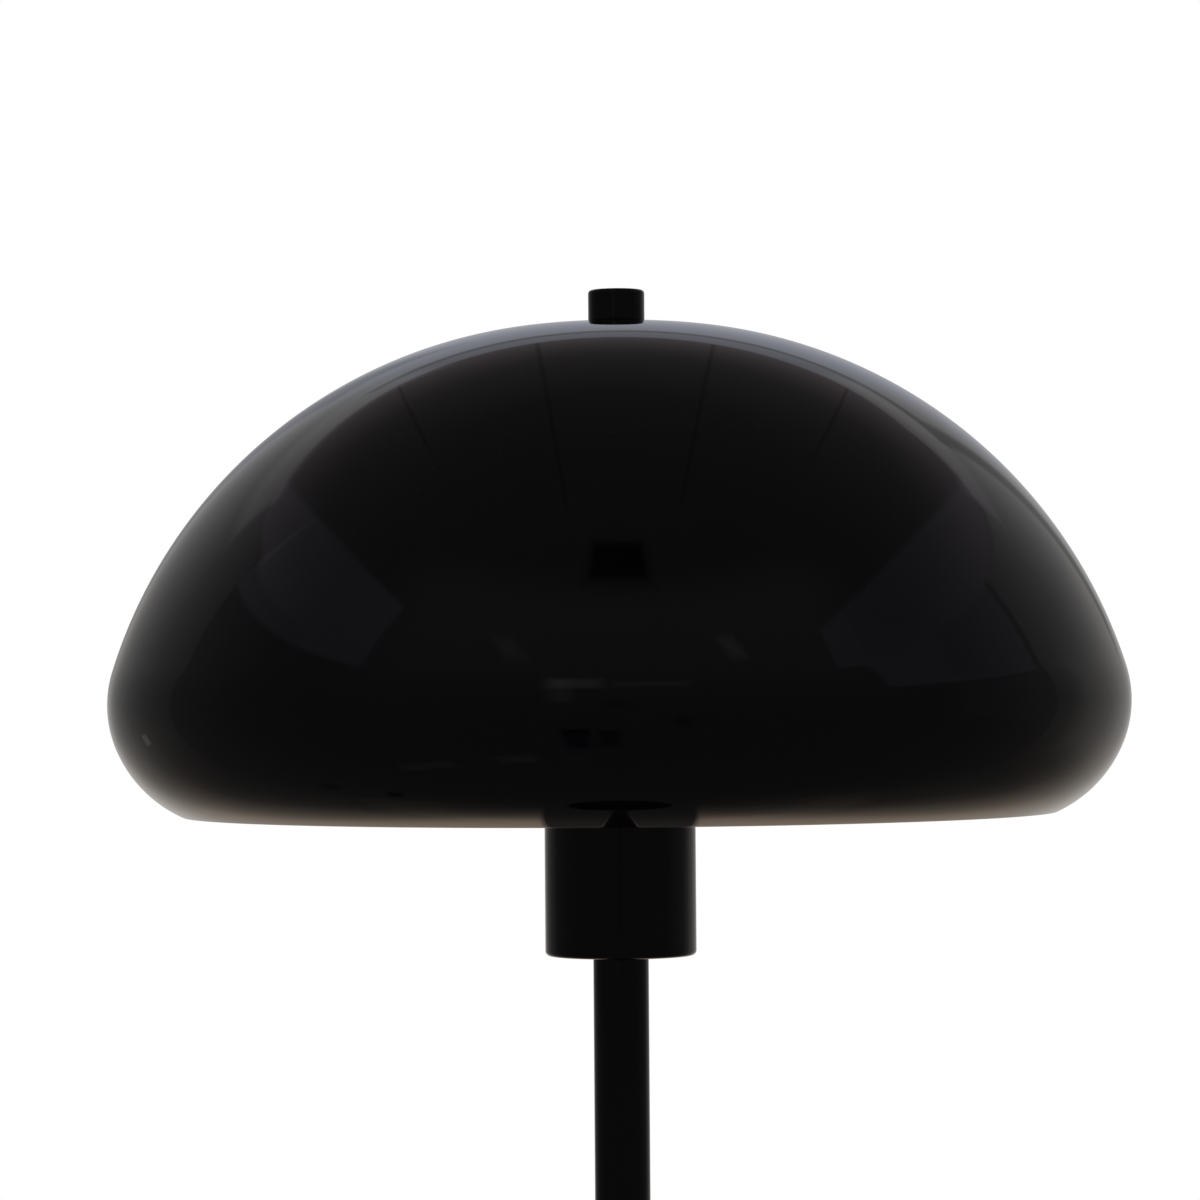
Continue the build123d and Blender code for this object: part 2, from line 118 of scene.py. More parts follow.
def roundedPath(corners, step, closed=False):
    # a polyline whose corners (x, z, radius) are arcs: each arc touches both runs at
    # radius * tan(turn / 2) from the corner, and its centre lies on the inner bisector
    fewest, most = 5, 40        # steps in one arc
    points = np.array([corner[:2] for corner in corners], float)
    radii = [corner[2] if len(corner) > 2 else 0.0 for corner in corners]
    count = len(points)
    out = []
    for k in range(count):
        here = points[k]
        if radii[k] <= 0 or (not closed and k in (0, count - 1)):
            out.append(here[None])
            continue
        before, after = unit(points[k - 1] - here), unit(points[(k + 1) % count] - here)
        opening = np.arccos(np.clip(before @ after, -1, 1))
        centre = here + unit(before + after) * radii[k] / np.sin(opening / 2)
        start = here + before * radii[k] / np.tan(opening / 2) - centre
        end = here + after * radii[k] / np.tan(opening / 2) - centre
        turn = np.pi - opening
        steps = int(np.clip(radii[k] * turn / step, fewest, most))
        t = np.linspace(0, 1, steps + 1)[:, None]
        out.append(centre + (np.sin((1 - t) * turn) * start + np.sin(t * turn) * end) / np.sin(turn))
    return np.concatenate(out)


def splitRuns(path, longest, closed=False):
    # adds points on runs longer than the given length
    ends = np.roll(path, -1, 0) if closed else path[1:]
    out = []
    for a, b in zip(path[:len(ends)], ends):
        parts = max(1, int(np.ceil(np.linalg.norm(b - a) / longest)))
        out.append(a + (b - a) * (np.arange(parts) / parts)[:, None])
    if not closed:
        out.append(path[-1:])
    return np.concatenate(out)


def turnedPiece(name, node, corners, step, segments, longest=None, centre=(0.0, 0.0), sharpAngle=35.0):
    # a closed ring of corners (r, z, radius), turned round Z in a node's place
    profile = roundedPath(corners, step, closed=True)
    if longest:
        profile = splitRuns(profile, longest, closed=True)
    seat(lathePiece(name, profile, slotLooks[slotOf[node]], segments, centre, sharpAngle=sharpAngle), node)


def ringCorners(node, inner, outer, lowRound, highRound):
    # a washer's or tube's section, as high as its node
    low, high = boxZ(node)
    return [(inner, low, lowRound), (outer, low, lowRound), (outer, high, highRound),
            (inner, high, highRound)]


def sweepPoints(path, section):
    # a section (across, up) is carried along a path in the XZ plane; "up" is the path's normal in
    # that plane and "across" is Y
    tangent = np.gradient(path, axis=0)
    tangent /= np.linalg.norm(tangent, axis=1, keepdims=True)
    normal = np.stack([-tangent[:, 1], tangent[:, 0]], 1)
    x = path[:, 0][:, None] + normal[:, 0][:, None] * section[:, 1]
    z = path[:, 1][:, None] + normal[:, 1][:, None] * section[:, 1]
    return np.stack([x, section[:, 0] + 0 * x, z], -1)


def cappedPiece(name, points, material):
    # a swept grid, closed at both ends with a fan to the middle of the end section
    sides = points.shape[1]
    first, last = [np.repeat(row.mean(0)[None, None], sides, 1) for row in (points[0], points[-1])]
    points = np.concatenate([first, points, last])
    return meshPiece(name, points, gridFaces(len(points), sides, False), [material])


def circleSection(radius, sides):
    # radius * (cos a, sin a)
    angle = np.arange(sides) * 2 * np.pi / sides
    return np.stack([radius * np.cos(angle), radius * np.sin(angle)], 1)


def threadPiece(name, node, root, crest, pitch, bore, segments, perTurn, fade, sharpness=1.3):
    # a rolled thread in a node's place: r = root + (crest - root) * w, where w is a rounded wave
    # of z / pitch - angle / 360; it fades out over the first and last turns
    low, high = boxZ(node)
    steps = int((high - low) / pitch * perTurn) + 1
    z = np.linspace(low, high, steps)[:, None]
    angle = np.arange(segments)[None, :] * 2 * np.pi / segments
    wave = (0.5 + 0.5 * np.cos(2 * np.pi * (z / pitch) - angle)) ** sharpness
    ease = np.clip(np.minimum(z - low, high - z) / (pitch * fade), 0, 1)
    r = root + (crest - root) * wave * ease
    outer = np.stack([r * np.cos(angle), r * np.sin(angle), z + 0 * angle], -1)
    points = np.concatenate([outer, lathePoints(np.array([[bore, high], [bore, low]]), segments)])
    seat(meshPiece(name, points, gridFaces(len(points), segments, True), [slotLooks[slotOf[node]]]), node)


def easeNodes(width, *names):
    # merged copies of CAD nodes, their sharp edges eased by a bevel; angles in degrees
    ease = dict(merge=1e-6, flat=1.0, sharp=30.0, bevelFrom=35.0, segments=2)
    for node in names:
        work = bmesh.new()
        work.from_mesh(nodes[node].data)
        bmesh.ops.remove_doubles(work, verts=work.verts, dist=ease["merge"])
        bmesh.ops.dissolve_limit(work, angle_limit=np.radians(ease["flat"]), verts=work.verts,
                                 edges=work.edges)
        mesh = bpy.data.meshes.new(node + "Eased")
        work.to_mesh(mesh)
        work.free()
        mesh.materials.append(slotLooks[slotOf[node]])
        mesh.shade_smooth()
        mesh.set_sharp_from_angle(angle=np.radians(ease["sharp"]))
        piece = addObject(node + "Eased", mesh)
        bevel = piece.modifiers.new("ease", "BEVEL")
        bevel.width, bevel.segments = width, ease["segments"]
        bevel.limit_method, bevel.angle_limit = "ANGLE", np.radians(ease["bevelFrom"])
        seat(piece, node)


def isSocket(value):
    return isinstance(value, bpy.types.NodeSocket)


def feed(tree, socket, value):
    # links another socket to this one, or sets its own value
    if isSocket(value):
        tree.links.new(value, socket)
    else:
        socket.default_value = value


def newNode(tree, kind, inputs=None, **settings):
    node = tree.nodes.new(kind)
    for key, value in settings.items():
        setattr(node, key, value)
    for key, value in (inputs or {}).items():
        feed(tree, node.inputs[key], value)
    return node


def mathNode(tree, operation, *values, clamp=False):
    return newNode(tree, "ShaderNodeMath", dict(enumerate(values)), operation=operation,
                   use_clamp=clamp).outputs[0]


def fold(tree, operation, first, *others):
    # one operation over any number of values
    for value in others:
        first = mathNode(tree, operation, first, value)
    return first


def times(tree, *values):
    return fold(tree, "MULTIPLY", *values)


def spread(tree, value, low, high, outLow=0.0, outHigh=1.0, smooth=False):
    return newNode(tree, "ShaderNodeMapRange", {"Value": value, "From Min": low, "From Max": high,
                                                "To Min": outLow, "To Max": outHigh},
                   interpolation_type="SMOOTHSTEP" if smooth else "LINEAR").outputs["Result"]


def rgba(tone):
    # a grey or an (r, g, b)
    return (*tone, 1) if isinstance(tone, tuple) else (tone, tone, tone, 1)


def mixColour(tree, factor, first, second, blend="MIX"):
    node = newNode(tree, "ShaderNodeMix", {0: factor}, data_type="RGBA", blend_type=blend)
    for socket, tone in ((6, first), (7, second)):
        feed(tree, node.inputs[socket], tone if isSocket(tone) else rgba(tone))
    return node.outputs[2]


def blendAll(tree, blend, first, *others):
    # colours multiplied or added in turn
    for tone in others:
        first = mixColour(tree, 1.0, first, tone, blend)
    return first


def newGroup(name, numbers, results):
    # a shared effect that takes a place and named numbers, and puts out named numbers
    tree = bpy.data.node_groups.new(name, "ShaderNodeTree")
    tree.interface.new_socket(name="Place", in_out="INPUT", socket_type="NodeSocketVector")
    for label, value in numbers.items():
        socket = tree.interface.new_socket(name=label, in_out="INPUT", socket_type="NodeSocketFloat")
        socket.default_value = value
    for label in results:
        tree.interface.new_socket(name=label, in_out="OUTPUT", socket_type="NodeSocketFloat")
    return tree, tree.nodes.new("NodeGroupInput").outputs, tree.nodes.new("NodeGroupOutput").inputs


def placeGroup(tree, group, place, **values):
    return newNode(tree, "ShaderNodeGroup", {"Place": place, **values}, node_tree=group).outputs


def makeRipple():
    # the faint waviness of a sprayed or moulded skin, as a height in metres
    tree, given, out = newGroup("ripple", dict(Spacing=0.004, Depth=2e-6), ["Height"])
    scale = mathNode(tree, "DIVIDE", 1.0, given["Spacing"])
    noise = newNode(tree, "ShaderNodeTexNoise", {"Vector": given["Place"], "Scale": scale, "Detail": 1.5,
                                                 "Roughness": 0.4})
    feed(tree, out["Height"], times(tree, noise.outputs["Fac"], given["Depth"]))
    return tree


def makeDust():
    # specks and a thin film that settle on faces that look up; each pair is where the effect
    # starts and where it is full
    look = dict(up=(0.1, 0.95), least=0.12, rim=(0.08, 0.16), chosen=(0.9, 0.93), cloudScale=14.0,
                cloud=(0.35, 0.7))
    tree, given, out = newGroup("dust", dict(Speck=0.0012, Film=0.1, Amount=0.5), ["Mask"])
    up = newNode(tree, "ShaderNodeSeparateXYZ",
                 {"Vector": newNode(tree, "ShaderNodeNewGeometry").outputs["Normal"]}).outputs["Z"]
    settle = spread(tree, up, *look["up"], look["least"], 1.0, smooth=True)
    scale = mathNode(tree, "DIVIDE", 1.0, given["Speck"])
    cells = newNode(tree, "ShaderNodeTexVoronoi", {"Vector": given["Place"], "Scale": scale}).outputs
    dot = spread(tree, cells["Distance"], *look["rim"], 1.0, 0.0)
    chance = newNode(tree, "ShaderNodeSeparateColor", {"Color": cells["Color"]}).outputs["Red"]
    specks = times(tree, dot, spread(tree, chance, *look["chosen"]), given["Amount"])
    cloud = newNode(tree, "ShaderNodeTexNoise", {"Vector": given["Place"], "Scale": look["cloudScale"],
                                                 "Detail": 4.0})
    film = times(tree, spread(tree, cloud.outputs["Fac"], *look["cloud"]), given["Film"])
    feed(tree, out["Mask"], mathNode(tree, "MULTIPLY", mathNode(tree, "ADD", specks, film), settle,
                                     clamp=True))
    return tree


def makeHandling():
    # soft smears from wiping and handling, between a low and a high roughness
    look = dict(stretch=(1.0, 1.0, 2.4), turn=(0.3, 0.5, 0.2), smear=(0.42, 0.72))
    tree, given, out = newGroup("handling", dict(Size=0.05, Low=0.05, High=0.12), ["Rough", "Mask"])
    stretched = newNode(tree, "ShaderNodeMapping", {"Vector": given["Place"], "Scale": look["stretch"],
                                                    "Rotation": look["turn"]})
    smear = newNode(tree, "ShaderNodeTexNoise",
                    {"Vector": stretched.outputs[0], "Scale": mathNode(tree, "DIVIDE", 1.0, given["Size"]),
                     "Detail": 5.0, "Roughness": 0.62, "Distortion": 0.6})
    mask = spread(tree, smear.outputs["Fac"], *look["smear"], smooth=True)
    span = mathNode(tree, "SUBTRACT", given["High"], given["Low"])
    feed(tree, out["Rough"], mathNode(tree, "MULTIPLY_ADD", mask, span, given["Low"]))
    feed(tree, out["Mask"], mask)
    return tree


def makeTurning():
    # fine rings left by the lathe or the spinning tool, round Z, as a height in metres and a tone
    tree, given, out = newGroup("turning", dict(Pitch=0.0004, Depth=1e-6), ["Height", "Tone"])
    parts = newNode(tree, "ShaderNodeSeparateXYZ", {"Vector": given["Place"]}).outputs
    flat = newNode(tree, "ShaderNodeCombineXYZ", {"X": parts["X"], "Y": parts["Y"], "Z": 0.0})
    radius = newNode(tree, "ShaderNodeVectorMath", {0: flat.outputs[0]}, operation="LENGTH").outputs["Value"]
    along = mathNode(tree, "DIVIDE", mathNode(tree, "ADD", radius, parts["Z"]), given["Pitch"])
    lines = newNode(tree, "ShaderNodeTexNoise", {"W": along, "Scale": 1.0, "Detail": 2.0},
                    noise_dimensions="1D").outputs["Fac"]
    feed(tree, out["Height"], times(tree, lines, given["Depth"]))
    feed(tree, out["Tone"], lines)
    return tree


def makeGrit():
    # a sandy or cast skin: lumps with small pits, as a height in metres and a tone
    look = dict(pitRim=0.35, lumpDetail=6.0, lumpRoughness=0.65)
    tree, given, out = newGroup("grit", dict(Size=0.001, Depth=0.0001), ["Height", "Tone"])
    scale = mathNode(tree, "DIVIDE", 1.0, given["Size"])
    lumps = newNode(tree, "ShaderNodeTexNoise", {"Vector": given["Place"], "Scale": scale,
                                                 "Detail": look["lumpDetail"],
                                                 "Roughness": look["lumpRoughness"]})
    pits = newNode(tree, "ShaderNodeTexVoronoi", {"Vector": given["Place"], "Scale": scale})
    tone = times(tree, lumps.outputs["Fac"], spread(tree, pits.outputs["Distance"], 0.0, look["pitRim"]))
    feed(tree, out["Height"], times(tree, tone, given["Depth"]))
    feed(tree, out["Tone"], tone)
    return tree


ripple, dust, handling, turning, grit = makeRipple(), makeDust(), makeHandling(), makeTurning(), makeGrit()
print("shared effects made")


def newMaterial(name, **constants):
    material = bpy.data.materials.new(name)
    material.use_nodes = True
    tree = material.node_tree
    shader = tree.nodes["Principled BSDF"]
    for key, value in constants.items():
        shader.inputs[key.replace("_", " ")].default_value = value
    return material, tree, shader, newNode(tree, "ShaderNodeTexCoord").outputs["Object"]


def finishLook(tree, shader, colour, rough, height):
    # the height is in metres, so the bump's own strength and distance are 1
    bump = newNode(tree, "ShaderNodeBump", {"Height": height, "Strength": 1.0, "Distance": 1.0})
    for label, value in (("Base Color", colour), ("Roughness", rough), ("Normal", bump.outputs["Normal"])):
        feed(tree, shader.inputs[label], value)


def weigh(tree, first, share, second, otherShare):
    return mathNode(tree, "MULTIPLY_ADD", first, share, times(tree, second, otherShare))


def makeLacquer():
    # sprayed gloss black under a film of dust, which also dulls it
    look = dict(paint=0.0006, dusty=(0.30, 0.28, 0.26), dulled=0.5,
                dust=dict(Film=0.0015, Amount=0.02, Speck=0.0025),
                smears=dict(Size=0.06, Low=0.012, High=0.030), peel=dict(Spacing=0.007, Depth=8e-7))
    material, tree, shader, place = newMaterial("blackLacquer", IOR=1.5)
    film = placeGroup(tree, dust, place, **look["dust"])["Mask"]
    smear = placeGroup(tree, handling, place, **look["smears"])
    finishLook(tree, shader, mixColour(tree, film, look["paint"], look["dusty"]),
               mathNode(tree, "MULTIPLY_ADD", film, look["dulled"], smear["Rough"]),
               placeGroup(tree, ripple, place, **look["peel"])["Height"])
    return material


def makeInnerWhite():
    # satin white, warmer towards the crown; heights are above the rim
    look = dict(paint=(0.80, 0.785, 0.75), warmed=(0.74, 0.70, 0.62), warmFrom=0.10, warmTo=0.19,
                smearShare=0.25, warmShare=0.75, smears=dict(Size=0.04, Low=0.34, High=0.46),
                peel=dict(Spacing=0.003, Depth=6e-6))
    material, tree, shader, place = newMaterial("shadeInnerWhite", IOR=1.45)
    height = newNode(tree, "ShaderNodeSeparateXYZ", {"Vector": place}).outputs["Z"]
    rim = boxZ("shade")[0]
    warm = spread(tree, height, rim + look["warmFrom"], rim + look["warmTo"], smooth=True)
    smear = placeGroup(tree, handling, place, **look["smears"])
    tone = weigh(tree, smear["Mask"], look["smearShare"], warm, look["warmShare"])
    finishLook(tree, shader, mixColour(tree, tone, look["paint"], look["warmed"]), smear["Rough"],
               placeGroup(tree, ripple, place, **look["peel"])["Height"])
    return material


def makeMetal(name, bright, dull, low, high, pitch, depth):
    look = dict(smearSize=0.02, smearShare=0.7, ringShare=0.3)
    material, tree, shader, place = newMaterial(name, Metallic=1.0)
    smear = placeGroup(tree, handling, place, Size=look["smearSize"], Low=low, High=high)
    rings = placeGroup(tree, turning, place, Pitch=pitch, Depth=depth)
    tone = weigh(tree, rings["Tone"], look["ringShare"], smear["Mask"], look["smearShare"])
    finishLook(tree, shader, mixColour(tree, tone, bright, dull), smear["Rough"], rings["Height"])
    return material


def makeMoulded(name, colour, worn, low, high, grain, depth, ior=1.5):
    look = dict(smearSize=0.02, smearShare=0.4, grainShare=0.5)
    material, tree, shader, place = newMaterial(name, IOR=ior)
    smear = placeGroup(tree, handling, place, Size=look["smearSize"], Low=low, High=high)
    skin = placeGroup(tree, grit, place, Size=grain, Depth=depth)
    tone = weigh(tree, skin["Tone"], look["grainShare"], smear["Mask"], look["smearShare"])
    finishLook(tree, shader, mixColour(tree, tone, colour, worn), smear["Rough"], skin["Height"])
    return material


def makeOpalGlass():
    look = dict(milk=(0.93, 0.92, 0.895), thick=(0.905, 0.89, 0.86),
                smears=dict(Size=0.03, Low=0.07, High=0.12), waves=dict(Spacing=0.012, Depth=1e-5))
    material, tree, shader, place = newMaterial("opalGlass", IOR=1.5, Subsurface_Weight=0.35,
                                                Subsurface_Radius=(0.01, 0.008, 0.006),
                                                Subsurface_Scale=0.5)
    smear = placeGroup(tree, handling, place, **look["smears"])
    finishLook(tree, shader, mixColour(tree, smear["Mask"], look["milk"], look["thick"]), smear["Rough"],
               placeGroup(tree, ripple, place, **look["waves"])["Height"])
    return material


lacquer, innerWhite = makeLacquer(), makeInnerWhite()
drawn = makeMetal("drawnNickel", (0.74, 0.72, 0.68), (0.60, 0.58, 0.54), 0.09, 0.20, 0.002, 0.0)
# bright and dull tone, lowest and highest roughness, pitch and height of the tool's rings
metals = {"nickel_steel": ("brightNickel", (0.72, 0.70, 0.66), (0.56, 0.54, 0.50), 0.10, 0.24, 0.0006, 6e-7),
          "zinc_steel": ("zincPlate", (0.66, 0.67, 0.68), (0.45, 0.46, 0.46), 0.26, 0.45, 0.0005, 2e-6),
          "brass": ("plainBrass", (0.80, 0.60, 0.28), (0.55, 0.38, 0.16), 0.20, 0.38, 0.0004, 2e-6),
          "bulb_metal": ("bulbCapMetal", (0.78, 0.78, 0.77), (0.55, 0.55, 0.54), 0.18, 0.34, 0.0007, 2e-6)}
# tone and worn tone, lowest and highest roughness, size and height of the grain, and nylon's own IOR
skins = {"phenolic": ("mouldedPhenolic", (0.016, 0.014, 0.013), (0.05, 0.045, 0.04), 0.22, 0.4, 0.0008, 1e-5),
         "porcelain": ("glazedBlock", (0.78, 0.76, 0.70), (0.62, 0.58, 0.50), 0.12, 0.25, 0.002, 1e-5),
         "nylon": ("naturalNylon", (0.74, 0.73, 0.68), (0.62, 0.60, 0.53), 0.35, 0.5, 0.001, 1e-5, 1.53),
         "rubber": ("softRubber", 0.018, (0.06, 0.058, 0.055), 0.55, 0.8, 0.0005, 2e-5),
         "cast_iron": ("primedIron", (0.035, 0.034, 0.033), (0.10, 0.09, 0.08), 0.5, 0.8, 0.0016, 0.00025),
         "felt": ("foamPad", (0.020, 0.020, 0.021), (0.07, 0.068, 0.066), 0.75, 0.95, 0.0009, 0.00018)}
slotLooks = {"shade_lacquer": lacquer, "gloss_black": lacquer, "opal_glass": makeOpalGlass()}
slotLooks.update({slot: makeMetal(*look) for slot, look in metals.items()})
slotLooks.update({slot: makeMoulded(*look) for slot, look in skins.items()})
for node, obj in nodes.items():
    obj.data.materials.clear()
    obj.data.materials.append(slotLooks[slotOf[node]])
print("materials made")


def shadeSection(sizes, wall):
    # three tangent arcs from the seat's edge to the rim, each offset inwards by the wall; a point at
    # slope s on an arc lies at centre + radius * (sin s, cos s)
    arcs = []
    corner = np.array([sizes["seat"], boxZ("shade")[1]])
    slope = 0.0
    for radius, end, steps in sizes["arcs"]:
        turn = np.radians([slope, end])
        centre = corner - radius * np.array([np.sin(turn[0]), np.cos(turn[0])])
        angle = np.linspace(turn[0], turn[1], steps + 1)
        arcs.append(centre + (radius - wall) * np.stack([np.sin(angle), np.cos(angle)], 1))
        corner = centre + radius * np.array([np.sin(turn[1]), np.cos(turn[1])])
        slope = end
    return np.concatenate([arc if k == 0 else arc[1:] for k, arc in enumerate(arcs)])


def makeShade():
    # outer arcs, a rim of two quarter rounds with a short flat between, inner arcs and the hole's
    # edge make one profile, turned round Z; the faces from the flat inwards are white
    sizes = dict(seat=0.014, hole=0.0043, wall=0.0012, edge=0.00035, segments=288, rimSteps=4, rimFlat=0.3,
                 arcs=[(0.195, 72.7, 72), (0.045, 113.0, 30), (0.051, 155.8, 32)])   # radius, slope, steps
    apex, ease = boxZ("shade")[1], sizes["edge"]
    outer, inner = shadeSection(sizes, 0.0), shadeSection(sizes, sizes["wall"])
    down, across = unit(outer[-1] - outer[-2]), unit(inner[-1] - outer[-1])
    turn = np.linspace(0, np.pi / 2, sizes["rimSteps"] + 1)[1:-1, None]
    first = outer[-1] + across * ease - down * ease - ease * (np.cos(turn) * across - np.sin(turn) * down)
    second = inner[-1] - across * ease - down * ease + ease * (np.sin(turn) * across + np.cos(turn) * down)
    outer[-1] -= down * ease
    inner[-1] -= down * ease
    flat = across * ease * sizes["rimFlat"]
    hole = np.array([[sizes["hole"] + ease, apex], [sizes["hole"], apex - ease],
                     [sizes["hole"], apex - sizes["wall"] + ease],
                     [sizes["hole"] + ease, apex - sizes["wall"]]])
    profile = np.concatenate([hole[:1], outer, first, [first[-1] + flat, second[0] - flat], second,
                              inner[::-1], hole[:0:-1]])
    insideFrom = len(hole[:1]) + len(outer) + len(first) + 1
    band = np.repeat(np.arange(len(profile)), sizes["segments"])
    shade = meshPiece("shadeShell", lathePoints(profile, sizes["segments"]),
                      gridFaces(len(profile), sizes["segments"], True), [lacquer, innerWhite],
                      (band >= insideFrom).astype(np.int32))
    seat(shade, "shade")


makeShade()
print("shade made")


def makeFinial():
    # the knob, with a blind bore, and the washer under it
    sizes = dict(radius=0.0112, topRound=0.0014, bottomRound=0.0005, bore=0.00605, pocket=0.0102,
                 crown=0.00012)
    washer = dict(inner=0.0043, outer=0.009, lowRound=0.0002, highRound=0.0002)
    low, high = boxZ("finial")
    floor = low + sizes["pocket"]
    corners = [(sizes["bore"], low), (sizes["radius"], low, sizes["bottomRound"]),
               (sizes["radius"], high - sizes["crown"], sizes["topRound"]), (0, high), (0, floor),
               (sizes["bore"], floor)]
    turnedPiece("finialKnob", "finial", corners, step=0.00015, segments=160, longest=0.0012, sharpAngle=50)
    turnedPiece("finialWasher", "finial_washer", ringCorners("finial_washer", **washer), step=0.0001,
                segments=96)


def makeStud():
    sizes = dict(root=0.0034, crest=0.004, pitch=0.001, bore=0.0, segments=64, perTurn=10, fade=1.0)
    threadPiece("studThread", "harp_stud", **sizes)


def makeHarp():
    # one rod: a circle carried along a path of six arcs, up one side and down the other
    sizes = dict(rod=0.00225, foot=0.0345, belly=0.058, straight=0.026, flare=0.040, footBend=0.040,
                 bellyBend=0.060, topBend=0.050, sides=36, step=0.0012, longest=0.004)
    low, high = boxZ("harp")
    kick = low + sizes["straight"]
    half = [(sizes["foot"], low), (sizes["foot"], kick, sizes["footBend"]),
            (sizes["belly"], kick + sizes["flare"], sizes["bellyBend"]),
            (sizes["belly"], high - sizes["rod"], sizes["topBend"])]
    other = [(-corner[0], *corner[1:]) for corner in reversed(half)]
    path = splitRuns(roundedPath(half + other, sizes["step"]), sizes["longest"])
    points = sweepPoints(path, circleSection(sizes["rod"], sizes["sides"]))
    seat(cappedPiece("harpRod", points, drawn), "harp")


def makeFerrules():
    # a plain sleeve with a raised bead near each end
    sizes = dict(bore=0.00233, body=0.0034, bead=0.0036, beadLength=0.0022, edge=0.0004, boreEdge=0.0001)
    step = sizes["bead"] - sizes["body"]
    for side in ("left", "right"):
        node = "ferrule_" + side
        low, high = boxZ(node)
        centre = (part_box(node)[0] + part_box(node)[1]) / 2
        lowBead, highBead = low + sizes["beadLength"], high - sizes["beadLength"]
        corners = [(sizes["bore"], low, sizes["boreEdge"]), (sizes["bead"], low, sizes["edge"]),
                   (sizes["bead"], lowBead, step / 2), (sizes["body"], lowBead + step, step / 2),
                   (sizes["body"], highBead - step, step / 2), (sizes["bead"], highBead, step / 2),
                   (sizes["bead"], high, sizes["edge"]), (sizes["bore"], high, sizes["boreEdge"])]
        turnedPiece("ferruleSleeve" + side.capitalize(), node, corners, step=0.0001, segments=64,
                    centre=(centre.x, centre.y))


makeFinial()
makeStud()
makeHarp()
makeFerrules()
easeNodes(0.0004, "harp_hub")
easeNodes(0.0003, "harp_saddle")
print("harp and finial made")


def makeCup():
    # a flat-bottomed shell with a hole for the threaded tube
    sizes = dict(radius=0.030, wall=0.0012, corner=0.002, lip=0.0005, hole=0.0054, holeEdge=0.0002)
    low, high = boxZ("cup")
    floor, inner = low + sizes["wall"], sizes["radius"] - sizes["wall"]
    corners = [(sizes["hole"], low, sizes["holeEdge"]), (sizes["radius"], low, sizes["corner"]),
               (sizes["radius"], high, sizes["lip"]), (inner, high, sizes["lip"]),
               (inner, floor, sizes["corner"] - sizes["wall"]), (sizes["hole"], floor, sizes["holeEdge"])]
    turnedPiece("cupShell", "cup", corners, step=0.0002, segments=192, longest=0.004, sharpAngle=50)


makeCup()
easeNodes(0.00015, "holder_sleeve", "holder_cap", "holder_block", "cup_nut", "saddle_nut", "cup_washer",
          "side_contact")
print("cup made")


def makeBulb():
    # a thin ball that narrows into its cap, the cap's thread, and the contact under it
    sizes = dict(ball=0.030, neck=0.01205, waist=42.0, wall=0.001, blend=0.006, ballSteps=60,
                 flankSteps=25, contact=0.0048, contactRound=0.0008)
    thread = dict(root=0.0125, crest=0.0132, pitch=0.00363, bore=0.0121, segments=128, perTurn=16, fade=0.6)
    low, high = boxZ("bulb_glass")
    centre = high - sizes["ball"]
    waist = np.radians(90 + sizes["waist"])

    def envelope(inset):
        # a ball down to its waist, then a cubic that leaves along the ball and arrives upright
        ball, neck = sizes["ball"] - inset, sizes["neck"] - inset
        angle = np.linspace(0, waist, sizes["ballSteps"])
        upper = np.stack([ball * np.sin(angle), centre + ball * np.cos(angle)], 1)
        start, end = upper[-1], np.array([neck, boxZ("bulb_cap")[1] + sizes["blend"]])
        reach = np.linalg.norm(end - start)
        leave = np.array([np.cos(waist), -np.sin(waist)]) * reach
        arrive = np.array([0, -1.0]) * reach
        t = np.linspace(0, 1, sizes["flankSteps"] + 1)[1:, None]
        flank = ((2 * t**3 - 3 * t**2 + 1) * start + (t**3 - 2 * t**2 + t) * leave
                 + (3 * t**2 - 2 * t**3) * end + (t**3 - t**2) * arrive)
        return np.concatenate([upper, flank, [[neck, low]]])

    profile = np.concatenate([envelope(0.0), envelope(sizes["wall"])[::-1]])
    glass = lathePiece("bulbGlass", profile, slotLooks["opal_glass"], segments=160, closed=False)
    seat(glass, "bulb_glass")
    threadPiece("bulbCap", "bulb_cap", **thread)
    tipLow, tipHigh = boxZ("bulb_contact")
    tip = [(0, tipLow), (sizes["contact"], tipLow, sizes["contactRound"]), (sizes["contact"], tipHigh),
           (0, tipHigh)]
    turnedPiece("bulbContact", "bulb_contact", tip, step=0.0001, segments=64)


makeBulb()
print("bulb made")


def makeStem():
    # three tubes, and between them two couplers: spigots with a flush band that has a fine groove
    sizes = dict(radius=0.011, bore=0.0095, edge=0.00025, segments=144, step=0.0001)
    for node in ("stem_lower", "stem_middle", "stem_upper"):
        corners = ringCorners(node, sizes["bore"], sizes["radius"], sizes["edge"], sizes["edge"])
        turnedPiece(node.replace("_", "") + "Tube", node, corners, sizes["step"], sizes["segments"],
                    longest=0.02, sharpAngle=50)
    collar = dict(spigot=0.00945, band=0.003, bore=0.004, edge=0.0004, groove=0.00025, grooveEdge=0.0001,
                  spigotEdge=0.0005)
    outer, spigot, dip, dipEdge = sizes["radius"], collar["spigot"], collar["groove"], collar["grooveEdge"]
    for number in ("1", "2"):
        node = "stem_coupler_" + number
        low, high = boxZ(node)
        middle, half = (low + high) / 2, collar["band"] / 2
        corners = [(collar["bore"], low), (spigot, low, collar["spigotEdge"]), (spigot, middle - half),
                   (outer, middle - half, collar["edge"]), (outer, middle - dip, dipEdge),
                   (outer - dip, middle, dipEdge), (outer, middle + dip, dipEdge),
                   (outer, middle + half, collar["edge"]), (spigot, middle + half),
                   (spigot, high, collar["spigotEdge"]), (collar["bore"], high)]
        turnedPiece("stemCoupler" + number, node, corners, sizes["step"], sizes["segments"])


makeStem()
print("stem made")


